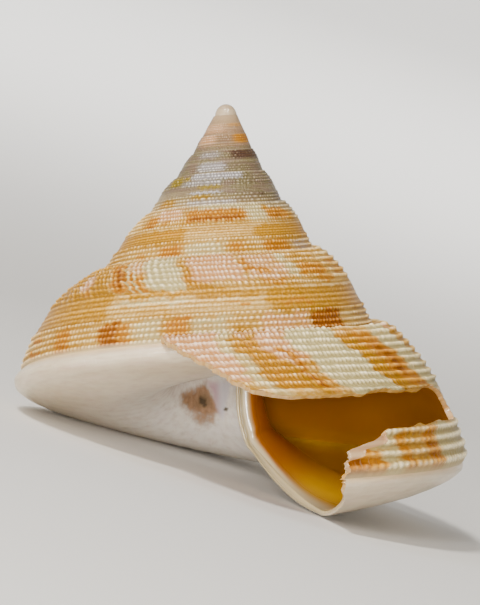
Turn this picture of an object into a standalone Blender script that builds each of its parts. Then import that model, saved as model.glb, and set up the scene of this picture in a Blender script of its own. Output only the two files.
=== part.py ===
"""Slit shell: one coiled, hollow sea shell with an open slit behind its lip.

The shell is a loft of one growing whorl section, wound down and out about the coiling axis.
A place on it is (t, s). t counts turns along the coil: 0 is just before the slit's inner end,
and it grows towards the lip. s runs once across the section:

    0 to 1   flank, from the seam with the turn above down to the lowest cord
    1 to 2   base, from the lowest cord over the rounded edge in to the umbilical rim
    2 to 3   wall of the umbilicus, from that rim up to the rim of the turn above

A turn's seam lies on the lowest cord of the turn above, and its umbilical wall ends on the rim
of the turn above, so the turns share those edges and the shell is one body.
"""
import math

import bmesh
import bpy
import numpy as np
from mathutils import Matrix

# All sizes are in millimetres, and turns are whole turns of the coil.
MM = 0.001

# Seam line, measured from the point where the spire's sides would meet.
SEAM_RADIUS = 6.67          # two turns before t = 0
SEAM_DEPTH = 11.91
RADIUS_RATE = 0.4322        # growth per turn, as the power of e
RADIUS_QUICKEN = 0.0195
DEPTH_RATE = 0.3512
DEPTH_QUICKEN = 0.0206
TIP_RADIUS = 0.13
SPIRE_FULL = 0.38           # the first turns are fuller than the growth alone gives
SPIRE_FULL_TURNS = (-5.2, -3.0)
STEP_OUT = 0.70             # the last turn steps out a little at the right
STEP_TURNS = 0.35
DRAW_IN = 0.42              # and its lowest cord draws in there
DRAW_IN_TURNS = 0.20

# Flank: its swell over the straight line, and where along it the swell is highest.
FLANK_TURNS = (-5.3, -4.0, -2.5, -2.0, -1.5, -1.0, -0.5, 0.0)
FLANK_SWELL = (0.0, 0.060, 0.070, 0.080, 0.055, 0.105, 0.128, 0.134)
FLANK_RISE = (0.70, 0.70, 0.65, 0.63, 0.62, 0.60, 0.80, 0.36)
FLANK_FALL = (1.20, 1.20, 1.30, 1.30, 1.30, 1.30, 0.95, 0.60)

# Base: (radius, drop) as shares of the lowest cord's radius, early on and at the lip.
BASE_EARLY = ((1.0, 0.0), (1.042, 0.052), (1.003, 0.108), (0.85, 0.156),
              (0.60, 0.190), (0.40, 0.175), (0.25, 0.105))
BASE_AT_LIP = ((1.0, 0.0), (0.992, 0.032), (0.930, 0.076), (0.80, 0.126),
               (0.64, 0.143), (0.43, 0.078), (0.19, -0.075))
BASE_CHANGE = (-0.40, 0.10)
WALL_HOLLOW = 0.10          # how far the umbilical wall bows towards the axis

# Lip: how far each part of the section reaches, as (s, t).
LIP = ((0.0, 0.300), (0.10, 0.286), (0.20, 0.270), (0.30, 0.252), (0.40, 0.238),
       (0.46, 0.228), (0.50, 0.215), (0.52, 0.202), (0.70, 0.140), (0.745, 0.137),
       (0.79, 0.139), (0.82, 0.152), (0.86, 0.167), (1.0, 0.172), (1.25, 0.172),
       (1.50, 0.166), (1.75, 0.150), (1.90, 0.135), (2.0, 0.115), (2.3, 0.134),
       (2.6, 0.140), (3.0, 0.145))
LIP_TURN = 0.30
SLANT_START = -0.05         # growth lines lean back from here to the lip

# Slit, and the band that it leaves behind it.
SLIT_UPPER = 0.52
SLIT_LOWER = 0.745
SLIT_END_TURN = 0.062

WALL = 0.95
LIP_WALL = 0.50
COLUMELLA_WALL = 1.45
WALL_TAPER_TURNS = 0.12
LUMEN_DEPTH_TURN = -1.50    # the hollow is followed this far in
UMBILICUS_TOP_TURN = -2.55
UMBILICUS_TOP_DEPTH = 12.8
SPIRE_TURN = -5.30
APEX_DEPTH = 0.92
DOME_RADIUS = 0.82          # a ring on the apex's blunt dome
DOME_DEPTH = 1.36

# Main ridges and grooves of the flank, as (s, rise) on the last turn.
RIDGES = ((0.0, 0.0), (0.055, 0.16), (0.13, -0.04), (SLIT_UPPER, 0.14), (0.63, -0.10),
          (SLIT_LOWER, 0.16), (0.84, -0.04), (0.93, 0.18), (1.0, 0.0))

# Facets: columns per turn, and rows across the section.
STEPS = 40
FLANK_ROWS = (0.0, 0.055, 0.13, 0.25, 0.39, SLIT_UPPER, 0.63, SLIT_LOWER, 0.84, 0.93, 1.0)
LEDGE_ROWS = (1.12, 1.25)
BASE_ROWS = (1.40, 1.55, 1.70, 1.85)
WALL_ROWS = (2.0, 2.2, 2.45, 2.7, 3.0)

# Rest: the shell stands on its base on small worn flats, and the apex leans over.
REST_DOWN = (-0.2502, 0.1179, -0.9610)
VIEW_DIP = 0.0442           # where the front is, in the shell's own axes
APEX_PLACE = (-12.206, 5.681, 41.882)

SHELL_COLOUR = (0.83, 0.66, 0.45, 1.0)


def ease(x, start, end):
    """Go smoothly from 0 at start to 1 at end."""
    share = np.clip((x - start) / (end - start), 0.0, 1.0)
    return share * share * (3.0 - 2.0 * share)


def seam(t):
    """Radius and depth of the seam that starts the whorl at t."""
    grown = t + 2.0
    quick = np.maximum(grown, 0.0) ** 2
    radius = (TIP_RADIUS + SEAM_RADIUS * np.exp(RADIUS_RATE * grown + RADIUS_QUICKEN * quick)
              + SPIRE_FULL * (1.0 - ease(t, *SPIRE_FULL_TURNS))
              + STEP_OUT * np.exp(-(t / STEP_TURNS) ** 2)
              - DRAW_IN * np.exp(-((t - 1.0) / DRAW_IN_TURNS) ** 2))
    depth = SEAM_DEPTH * np.exp(DEPTH_RATE * grown + DEPTH_QUICKEN * quick)
    return radius, depth


def flank(t, s):
    """Radius and depth on the flank: a straight line from seam to seam, with a swell."""
    r0, d0 = seam(t)
    r1, d1 = seam(t + 1.0)
    rise = np.interp(t, FLANK_TURNS, FLANK_RISE)
    fall = np.interp(t, FLANK_TURNS, FLANK_FALL)
    crest = rise / (rise + fall)
    share = np.clip(s, 0.0, 1.0)
    swell = share ** rise * (1.0 - share) ** fall / (crest ** rise * (1.0 - crest) ** fall)
    swell *= np.interp(t, FLANK_TURNS, FLANK_SWELL)
    return (r0 + (r1 - r0) * share + (d1 - d0) * swell,
            d0 + (d1 - d0) * share - (r1 - r0) * swell)


def base_keys(t):
    """The base section's key points at t, as rows of radius and of depth."""
    radius, depth = seam(t + 1.0)
    change = ease(t, *BASE_CHANGE)
    early, late = np.array(BASE_EARLY), np.array(BASE_AT_LIP)
    keys = early[:, :, None] * (1.0 - change) + late[:, :, None] * change
    return keys[:, 0] * radius, depth + keys[:, 1] * radius


def through(keys, share):
    """A smooth curve through the key points, read at a share of its way."""
    count = len(keys)
    place = np.clip(share, 0.0, 1.0) * (count - 1)
    first = np.minimum(place.astype(int), count - 2)
    f = place - first
    column = np.arange(len(f))
    a, b = keys[np.maximum(first - 1, 0), column], keys[first, column]
    c, d = keys[first + 1, column], keys[np.minimum(first + 2, count - 1), column]
    return b + 0.5 * f * (c - a + f * (2 * a - 5 * b + 4 * c - d + f * (3 * (b - c) + d - a)))


def section(t, s):
    """Radius and depth of the shell's outer face at (t, s)."""
    radius, depth = flank(t, s)
    radii, depths = base_keys(t)
    base_r, base_d = through(radii, s - 1.0), through(depths, s - 1.0)
    upper_radii, upper_depths = base_keys(t - 1.0)
    up = np.clip(s - 2.0, 0.0, 1.0)
    dr, dd = upper_radii[-1] - radii[-1], upper_depths[-1] - depths[-1]
    bow = 4.0 * WALL_HOLLOW * np.hypot(dr, dd) * up * (1.0 - up)
    wall_r, wall_d = radii[-1] + dr * up - bow, depths[-1] + dd * up
    radius = np.where(s > 2.0, wall_r, np.where(s > 1.0, base_r, radius))
    depth = np.where(s > 2.0, wall_d, np.where(s > 1.0, base_d, depth))
    return radius, depth


def place(t, s):
    """The point of the smooth outer face at (t, s), in the shell's own axes."""
    radius, depth = section(t, s)
    angle = -2.0 * math.pi * t
    return np.stack([radius * np.cos(angle), radius * np.sin(angle), -depth], axis=-1)


def outward(t, s):
    """The outer face's unit normal at (t, s)."""
    step = 0.004
    along = place(t + step, s) - place(t - step, s)
    across = place(t, np.minimum(s + step, 3.0)) - place(t, np.maximum(s - step, 0.0))
    normal = np.cross(along, across)
    return normal / np.linalg.norm(normal, axis=-1, keepdims=True)


def slant(t, s):
    """How far the growth lines lean back at column t: fully at the lip, and along the rim."""
    reach = np.interp(s, [k[0] for k in LIP], [k[1] for k in LIP])
    lean = (LIP_TURN - reach) * ease(t, SLANT_START, LIP_TURN)
    rim = ease(t, SLANT_START - 1.0, LIP_TURN - 1.0) * (1.0 - ease(t, LIP_TURN - 1.0, -0.30))
    near_rim = ease(s, 1.55, 1.85) * (1.0 - ease(s, 2.0, 2.6))
    return lean + (LIP_TURN - LIP[-1][1]) * rim * near_rim


def cord_rise(t, s):
    """How far the main ridges stand over the smooth flank; they fade out up the spire."""
    rise = np.interp(s, [r[0] for r in RIDGES], [r[1] for r in RIDGES])
    return rise * seam(t + 1.0)[0] / seam(1.0)[0] * ease(t, SPIRE_TURN, SPIRE_TURN + 1.0)


def wall_thickness(t, s):
    """The wall thins towards the lip and up the spire, and is thick at the columella."""
    reach = np.interp(s, [k[0] for k in LIP], [k[1] for k in LIP])
    size = seam(t + 1.0)[0] / seam(1.0)[0]
    full = WALL + (COLUMELLA_WALL - WALL) * ease(s, 1.7, 2.0)
    thin = LIP_WALL + (COLUMELLA_WALL - LIP_WALL) * ease(s, 1.6, 2.0)
    return size * (thin + (full - thin) * ease(reach - t, 0.0, WALL_TAPER_TURNS))


def shell_mesh(bm):
    """Build the two faces of the coiled wall and join them along every edge."""
    rows = np.array(FLANK_ROWS + LEDGE_ROWS + BASE_ROWS + WALL_ROWS)
    cord = len(FLANK_ROWS) - 1
    ledge = cord + len(LEDGE_ROWS)
    hollow = ledge + len(BASE_ROWS)
    rim = hollow + 1
    last = len(rows) - 1
    slit = (FLANK_ROWS.index(SLIT_UPPER), FLANK_ROWS.index(SLIT_LOWER))

    start = round(SPIRE_TURN * STEPS)
    lip = round(LIP_TURN * STEPS)
    slit_end = round(SLIT_END_TURN * STEPS)
    deep = round(LUMEN_DEPTH_TURN * STEPS)
    umbilicus = round(UMBILICUS_TOP_TURN * STEPS)

    columns = np.arange(start, lip + 1)
    turns, across = np.meshgrid(columns / STEPS, rows, indexing="ij")
    turns, across = turns.ravel(), across.ravel()
    turns = turns - slant(turns, across)
    normal = outward(turns, across)
    outer = place(turns, across) + normal * cord_rise(turns, across)[:, None]
    inner = place(turns, across) - normal * wall_thickness(turns, across)[:, None]
    shape = (len(columns), len(rows), 3)
    outer, inner = outer.reshape(shape), inner.reshape(shape)

    made = {}

    def corner(kind, i, j):
        """The vertex at column i and row j, shared where two turns meet."""
        if kind == "in" and j == 0:
            return corner("out", i - STEPS, ledge)
        if kind == "in" and j == last:
            return corner("out", i - STEPS, hollow)
        if kind == "out" and j == 0 and i - STEPS >= start:
            return corner("out", i - STEPS, cord)
        if kind == "out" and j == last and i - STEPS >= start:
            return corner("out", i - STEPS, rim)
        if (kind, i, j) not in made:
            points = outer if kind == "out" else inner
            made[kind, i, j] = bm.verts.new(points[i - start, j])
        return made[kind, i, j]

    def face(corners):
        bm.faces.new([corner(*c) for c in corners])

    def outer_cell(i, j):
        face([("out", i, j), ("out", i + 1, j), ("out", i + 1, j + 1), ("out", i, j + 1)])

    def inner_cell(i, j):
        face([("in", i, j), ("in", i, j + 1), ("in", i + 1, j + 1), ("in", i + 1, j)])

    def reach_of(j):
        return slit_end if slit[0] <= j < slit[1] else lip

    for j in range(last):
        first = start
        if cord <= j < ledge:
            first = lip - STEPS
        elif ledge <= j < hollow:
            first = deep - STEPS
        elif hollow <= j < rim:
            first = lip - STEPS
        elif j >= rim:
            first = umbilicus
        for i in range(first, reach_of(j)):
            outer_cell(i, j)
        for i in range(deep, reach_of(j)):
            inner_cell(i, j)

    # Lip and the slit's end: a strip from the outer face to the inner one.
    for j in range(last):
        i = reach_of(j)
        strip = [("out", i, j + 1), ("out", i, j), ("in", i, j), ("in", i, j + 1)]
        if j == 0:
            strip[2:2] = [("out", i - STEPS, k) for k in range(cord + 1, ledge)]
        if j == last - 1:
            strip += [("out", i - STEPS, k) for k in range(hollow + 1, rim)]
        face(strip)

    # The slit's two long edges.
    for i in range(slit_end, lip):
        upper, lower = slit
        face([("out", i, upper), ("out", i + 1, upper), ("in", i + 1, upper), ("in", i, upper)])
        face([("out", i + 1, lower), ("out", i, lower), ("in", i, lower), ("in", i + 1, lower)])

    def fan(corners, point):
        """Close a loop of corners to one point."""
        centre = bm.verts.new(point)
        loop = [corner(*c) for c in corners]
        for a, b in zip(loop, loop[1:] + loop[:1]):
            bm.faces.new((a, b, centre))

    # The hollow's inner end.
    end = [("in", deep, j) for j in range(last, 0, -1)]
    end += [("out", deep - STEPS, j) for j in range(ledge, hollow)]
    centre = np.mean([corner(*c).co for c in end], axis=0)
    fan(end, centre)

    # The umbilicus's inner end, and the blunt apex.
    bottom = [("out", umbilicus, j) for j in range(rim, last)]
    bottom += [("out", umbilicus + k, last) for k in range(STEPS)]
    fan(bottom, (0.0, 0.0, -UMBILICUS_TOP_DEPTH))
    top = [corner("out", start, j) for j in range(cord)]
    top += [corner("out", start + k, 0) for k in range(STEPS, 0, -1)]
    ring = []
    for vert in top[cord:]:
        share = DOME_RADIUS / math.hypot(vert.co.x, vert.co.y)
        ring.append(bm.verts.new((vert.co.x * share, vert.co.y * share, -DOME_DEPTH)))
    above = [ring[0]] * cord + ring
    tip = bm.verts.new((0.0, 0.0, -APEX_DEPTH))
    for k, vert in enumerate(top):
        if above[k] is above[k - 1]:
            bm.faces.new((top[k - 1], vert, above[k]))
        else:
            bm.faces.new((top[k - 1], vert, above[k], above[k - 1]))
            bm.faces.new((above[k - 1], above[k], tip))


def rest_matrix():
    """Turn the shell's own axes so that it stands on its base with the aperture in front."""
    down = np.array(REST_DOWN) / np.linalg.norm(REST_DOWN)
    front = np.array([0.0, -math.cos(VIEW_DIP), -math.sin(VIEW_DIP)])
    up = -down
    front -= up * front.dot(up)
    front /= np.linalg.norm(front)
    turn = np.array([np.cross(up, front), -front, up])
    matrix = Matrix.Identity(4)
    for i in range(3):
        for k in range(3):
            matrix[i][k] = turn[i][k]
        matrix[i][3] = APEX_PLACE[i]
    return matrix


def material(name, colour, roughness):
    made = bpy.data.materials.new(name)
    made.use_nodes = True
    shader = made.node_tree.nodes["Principled BSDF"]
    shader.inputs["Base Color"].default_value = colour
    shader.inputs["Roughness"].default_value = roughness
    shader.inputs["Metallic"].default_value = 0.0
    return made


def main():
    for old in list(bpy.data.objects):
        bpy.data.objects.remove(old, do_unlink=True)
    parts = bpy.data.collections.new("slit_shell")
    bpy.context.scene.collection.children.link(parts)

    bm = bmesh.new()
    shell_mesh(bm)
    bm.transform(rest_matrix())
    bmesh.ops.bisect_plane(bm, geom=bm.verts[:] + bm.edges[:] + bm.faces[:],
                           plane_co=(0.0, 0.0, 0.0), plane_no=(0.0, 0.0, 1.0), clear_inner=True)
    bmesh.ops.holes_fill(bm, edges=[e for e in bm.edges if e.is_boundary])
    bmesh.ops.triangulate(bm, faces=bm.faces[:])
    bmesh.ops.scale(bm, vec=(MM, MM, MM), verts=bm.verts[:])

    mesh = bpy.data.meshes.new("shell")
    bm.to_mesh(mesh)
    bm.free()
    mesh.shade_smooth()
    mesh.set_sharp_from_angle(angle=math.radians(50.0))
    shell = bpy.data.objects.new("shell", mesh)
    shell.data.materials.append(material("shell", SHELL_COLOUR, 0.35))
    parts.objects.link(shell)


main()
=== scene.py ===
"""Looks of the slit shell: its fine relief, its markings, and the light and camera of the photo.

A place on the shell is (t, s). t counts turns along the coil and grows towards the lip. s runs
across the whorl: 0 to 1 is the flank, 1 to 2 the base, and 2 to 3 the wall of the umbilicus.
Sizes are in millimetres in the shell's own axes, which have the coiling axis along Z, until
to_frame turns them into the frame's metres.
"""

import math

import bpy
import numpy as np
from mathutils import Matrix, Vector


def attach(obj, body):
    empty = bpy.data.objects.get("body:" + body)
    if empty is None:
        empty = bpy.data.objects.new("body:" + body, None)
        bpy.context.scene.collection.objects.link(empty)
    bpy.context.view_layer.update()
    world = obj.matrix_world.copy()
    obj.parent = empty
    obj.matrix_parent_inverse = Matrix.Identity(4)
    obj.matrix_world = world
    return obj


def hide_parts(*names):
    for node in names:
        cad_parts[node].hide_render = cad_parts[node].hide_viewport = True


MM = 0.001
CIRCLE = 2.0 * math.pi

# Growth of the coil, as in the solid.
SEAM_RADIUS = 6.67
SEAM_DEPTH = 11.91
RADIUS_RATE = 0.4322
RADIUS_QUICKEN = 0.0195
DEPTH_RATE = 0.3512
DEPTH_QUICKEN = 0.0206
TIP_RADIUS = 0.13
SPIRE_FULL = 0.38
SPIRE_FULL_TURNS = (-5.2, -3.0)
STEP_OUT = 0.7
STEP_TURNS = 0.35
DRAW_IN = 0.42
DRAW_IN_TURNS = 0.2
FLANK_TURNS = (-5.3, -4.0, -2.5, -2.0, -1.5, -1.0, -0.5, 0.0)
FLANK_SWELL = (0.0, 0.06, 0.07, 0.08, 0.055, 0.105, 0.128, 0.134)
FLANK_RISE = (0.7, 0.7, 0.65, 0.63, 0.62, 0.6, 0.8, 0.36)
FLANK_FALL = (1.2, 1.2, 1.3, 1.3, 1.3, 1.3, 0.95, 0.6)
BASE_EARLY = ((1.0, 0.0), (1.042, 0.052), (1.003, 0.108), (0.85, 0.156),
              (0.6, 0.19), (0.4, 0.175), (0.25, 0.105))
BASE_AT_LIP = ((1.0, 0.0), (0.992, 0.032), (0.93, 0.076), (0.8, 0.126),
               (0.64, 0.143), (0.43, 0.078), (0.19, -0.075))
BASE_CHANGE = (-0.4, 0.1)
WALL_HOLLOW = 0.1
LIP = ((0.0, 0.3), (0.1, 0.286), (0.2, 0.27), (0.3, 0.252), (0.4, 0.238),
       (0.46, 0.228), (0.5, 0.215), (0.52, 0.202), (0.7, 0.14), (0.745, 0.137),
       (0.79, 0.139), (0.82, 0.152), (0.86, 0.167), (1.0, 0.172), (1.25, 0.17),
       (1.4, 0.16), (1.5, 0.154), (1.6, 0.147), (1.7, 0.14), (1.8, 0.136),
       (1.9, 0.13), (2.0, 0.116), (2.3, 0.132), (2.6, 0.14), (3.0, 0.145))
LIP_TURN = 0.3
SLANT_START = -0.05
SLIT_UPPER = 0.52
SLIT_LOWER = 0.745
SLIT_END_TURN = 0.05
WALL = 0.95
LIP_WALL = 0.5
COLUMELLA_WALL = 1.45
SLIT_WALL = 0.42
WALL_TAPER_TURNS = 0.12
LEDGE = 1.25
LEDGE_AT_LIP = 1.02
HOLLOW = 1.85
RIDGES = ((0.0, 0.0), (0.055, 0.16), (0.13, -0.04), (SLIT_UPPER, 0.14), (0.63, -0.1),
          (SLIT_LOWER, 0.16), (0.84, -0.04), (0.93, 0.18), (1.0, 0.0))

# Place of the shell on the floor, and the camera's view of it.
REST_DOWN = (-0.2502, 0.1179, -0.961)
VIEW_DIP = 0.0442
VIEW_ROLL = 0.0376
APEX_PLACE = (-12.206, 5.681, 41.882)
VIEW_CENTRE = (1.55, -23.963)  # right and up from the spire's virtual tip, in the picture
VIEW_DISTANCE = 1046.5
VIEW_HEIGHT = 70.35  # what the picture's height shows at that distance
SENSOR = 36.0

# Fine relief of the flank: beaded cords, the band behind the slit and its threads.
BAND_TURNS = (-1.7, -0.85, -0.6, 0.0)
BAND_UPPER = (0.45, 0.48, 0.5, 0.52)
BAND_LOWER = (0.68, 0.73, 0.742, 0.745)
BAND_THREADS = 5
RAMP_CORD_TURNS = (-6.0, -4.0, -3.0, -2.0, -1.0, -0.5, 0.0, 0.3)
RAMP_CORDS = (2.5, 3.5, 4.5, 5.5, 6.3, 8.0, 9.4, 10.5)  # how many cords lie above the band
LOW_CORD_TURNS = (-2.0, -1.0, -0.6, 0.0)
LOW_CORDS = (3.5, 4.5, 5.0, 4.0)  # and below it
RATE_TURNS = (-8.0, -4.0, -2.7, -1.7, -0.85, -0.72, -0.58, -0.3, 0.0, 1.0)
FINE_BEADS = (110, 130, 150, 230, 250, 250, 255, 265, 270, 270)  # beads a turn
COARSE_BEADS = (75, 80, 88, 140, 185, 170, 115, 150, 195, 200)
LOW_BEADS = (75, 80, 88, 150, 190, 190, 190, 190, 190, 190)
COARSE_ROWS = (9, 9, 9, 9, 9, 9, 9, 2.4, 1.2, 1)  # cords with the coarse beads
IN_LINE_TURNS = (-0.72, -0.66, -0.57, -0.48)
IN_LINE = (1.0, 0.1, 0.1, 1.0)  # how far the beads of neighbouring cords stray from one line
LEAN_TURNS = (-2.8, -2.6, -1.9, -1.6, -0.9, -0.75, -0.6, -0.4, 0.0, 0.2, 0.29)
LEAN = (0.0, 0.02, 0.01, 0.02, 0.015, 0.025, 0.055, 0.05, 0.042, 0.042, 0.055)

# Heights of that relief on the last turn. Pairs go with the pair of turns before them.
CORD_RISE = 0.12
BEAD_RISE = 0.34
STRONG_TURNS = (-1.0, -0.2)
STRONG_BEADS = (1.25, 1.0)
LOW_TURNS = (-0.7, -0.1)
LOW_CORD_RISE = (0.2, 0.32)
LOW_BEAD_RISE = (0.3, 0.12)
LOW_EVEN = (0.22, 0.5)  # how bead-like a low cord looks between its beads
RAMP_EVEN = 0.22
THREAD_RISE = 0.085
THREAD_BEAD_RISE = 0.04
RIB_RISE = 0.16  # ribs where the beads stand in line
MAIN_RIDGES = 0.75  # share of the solid's main ridges
RIDGE_TURNS = (-5.3, -4.3)  # where these ridges set in, and where the cords do
CORD_TURNS = (-6.8, -5.0)
SPIRE_START = -7.4
SPIRE_SINK = 0.12  # how far the spire's start dips into the apex's dome

# The apex's dome, and the skirt that hides its rim, as angles from the dome's top.
DOME_TOP = 0.9
DOME_DEEP = 1.45
DOME_WIDE = 1.28
DOME_SKIRT = (1.8, 2.1)
SKIRT_FALL = 2.0
SKIRT_TAPER = 0.05

# Small irregularities, as waves of (height, waves per unit, phase).
LIP_NICKS = ((0.0011, 13.0, 0.1), (0.0007, 31.0, 0.6), (0.0004, 67.0, 0.3))
SLIT_NICKS = ((0.0016, 61.0, 0.2), (0.0011, 143.0, 0.7))
BEAD_STRAY = ((0.45, 7.3, 0.2), (0.25, 19.7, 0.5))
CORD_UNEVEN = ((0.09, 23.0, 0.3), (0.06, 57.0, 0.8))
BASE_FOLDS = ((0.018, 41.0, 0.1), (0.012, 97.0, 0.4), (0.008, 203.0, 0.9))
MARK_WANDER = ((0.0026, 4.3, 0.1), (0.0016, 11.0, 0.7), (0.001, 23.0, 0.4))
MARK_SWAY = ((0.014, 17.0, 0.2), (0.01, 43.0, 0.6), (0.007, 97.0, 0.1))

# The wall's edge at the lip: how far it bulges forward, and how strong the pillar's ridge and the
# painted shade of the groove beside it are, as (s, share). Ridge and groove have a place and a width
# across the edge.
LIP_BULGE = ((0.0, 0.05), (1.3, 0.08), (1.6, 0.25), (1.9, 0.4), (2.1, 0.0), (3.0, 0.0))
PILLAR_RIDGES = ((1.8, 0.0), (2.05, 1.0), (2.85, 1.0), (3.0, 0.2))
EDGE_RIDGE_RISE = 0.34
EDGE_RIDGE = (0.2, 0.22)
EDGE_GROOVE_SHADE = (0.66, 0.17)
PILLAR_CORNER = 0.8  # radius of the pillar's rounded inner corner
PILLAR_FOLD = 0.32  # a low fold on the pillar, with its place and width behind the lip
PILLAR_FOLD_AT = (0.35, 0.55)
RIM_ROUND = 0.075  # how far the umbilicus's rim is rounded, in s
SMOOTH_STEPS = (-1.0, -0.5, 0.0, 0.5, 1.0)  # where values are read to round a corner
SLOPE_STEP = 0.004  # how far apart, in t and s, slopes are taken

# How many millimetres of the inner face are pearly at the lip, as (s, width).
PEARL_MARGIN = ((0.5, 0.4), (1.0, 0.8), (1.4, 2.0), (1.6, 2.0), (1.7, 1.6), (1.8, 0.9), (1.9, 0.65),
                (3.0, 0.65))

# Ragged edges of the slit as (t, s), and what the outer layer lost at the chip as (s, turns).
UPPER_EDGE = ((0.03, 0.512), (0.06, 0.502), (0.072, 0.503), (0.08, 0.524), (0.09, 0.522),
              (0.095, 0.51), (0.108, 0.519), (0.12, 0.505), (0.13, 0.502), (0.138, 0.51),
              (0.147, 0.53), (0.152, 0.519), (0.166, 0.523), (0.21, 0.521))
LOWER_EDGE = ((0.03, 0.742), (0.06, 0.738), (0.072, 0.728), (0.084, 0.736), (0.094, 0.75),
              (0.101, 0.728), (0.109, 0.753), (0.124, 0.753), (0.136, 0.757))
CHIP = ((0.775, 0.0), (0.8, 0.006), (0.82, 0.013), (0.842, 0.02), (0.862, 0.012), (0.905, 0.008),
        (0.925, 0.0))

# Outlines of the brown patch on the umbilicus's wall, partly staining and partly painted shadow, and
# of the bare nacre there as (t, s), and dirt specks as (t, s, radius, strength).
UMBILICUS_TURN = 34.0  # millimetres around the wall
UMBILICUS_RISE = 9.0  # millimetres from its rim to its top
STAIN_AND_SHADOW = ((-0.397, 2.145), (-0.345, 2.235), (-0.298, 2.332), (-0.256, 2.225), (-0.24, 2.145),
         (-0.279, 2.07), (-0.34, 2.08), (-0.375, 2.1))
NACRE = ((-0.294, 2.355), (-0.234, 2.404), (-0.176, 2.45), (-0.191, 2.32), (-0.204, 2.229),
         (-0.222, 2.08), (-0.239, 2.137), (-0.262, 2.29))
DIRT = ((-0.299, 2.187, 0.52, 0.85), (-0.305, 2.205, 0.38, 0.9), (-0.29, 2.165, 0.34, 0.8),
        (-0.206, 2.18, 0.3, 0.9), (-0.212, 2.17, 0.22, 0.9), (-0.393, 1.695, 0.35, 0.35),
        (-0.262, 1.62, 0.35, 0.3))
# The patch's darker middle and its tail as (t, s, radius): staining with painted shadow.
STAIN_AND_SHADOW_DARK = (-0.298, 2.187, 1.25)
STAIN_AND_SHADOW_TAIL = (-0.285, 2.08, 2.3)

# Stretches of the flank, as (name, first turn, last turn, columns, rows).
FLANKS = (
    ("front", -0.02, LIP_TURN, 550, 165),
    ("right", -0.47, -0.02, 360, 100),
    ("left", -1.0, -0.47, 640, 135),
    ("second_back", -1.53, -1.0, 420, 85),
    ("second_front", -2.0, -1.53, 480, 90),
    ("third_back", -2.53, -2.0, 360, 50),
    ("third_front", -3.0, -2.53, 400, 66),
    ("spire", SPIRE_START, -3.0, 1300, 30),
)

# The studio: its floor's flat part, its bend and its top, and the light of the world around it.
STAGE_FLAT = 1.3
STAGE_BEND = 0.9
STAGE_TOP = 2.4
STAGE_SIDES = 64
BEND_STEPS = 16
WORLD_COLOUR = (1.0, 0.98, 0.96, 1.0)
WORLD_STRENGTH = 0.34

# Lamps, as (name, place, width and height, watts, colour). The last one has an aim of its own.
WHITE = (1.0, 1.0, 1.0)
WARM = (1.0, 0.97, 0.93)
LAMPS = (
    ("key", (-0.24, -0.38, 0.52), (0.1, 0.1), 4.2, (1.0, 0.96, 0.9)),
    ("strip", (-0.18, -0.85, 0.36), (0.1, 0.6), 4.8, WARM),
    ("front", (0.0, -0.9, 0.07), (0.12, 0.12), 3.0, WARM),
    ("low_left", (-0.47, -0.78, 0.1), (0.24, 0.18), 3.6, WHITE),
    ("left", (-0.45, 0.08, 0.62), (0.18, 0.18), 0.9, WHITE),
    ("backdrop", (0.0, 0.7, 0.8), (0.9, 0.9), 22.0, WHITE, (0.0, 1.9, 0.0)),
)
SHELL_MIDDLE = (0.0, 0.0, 0.02)

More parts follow.
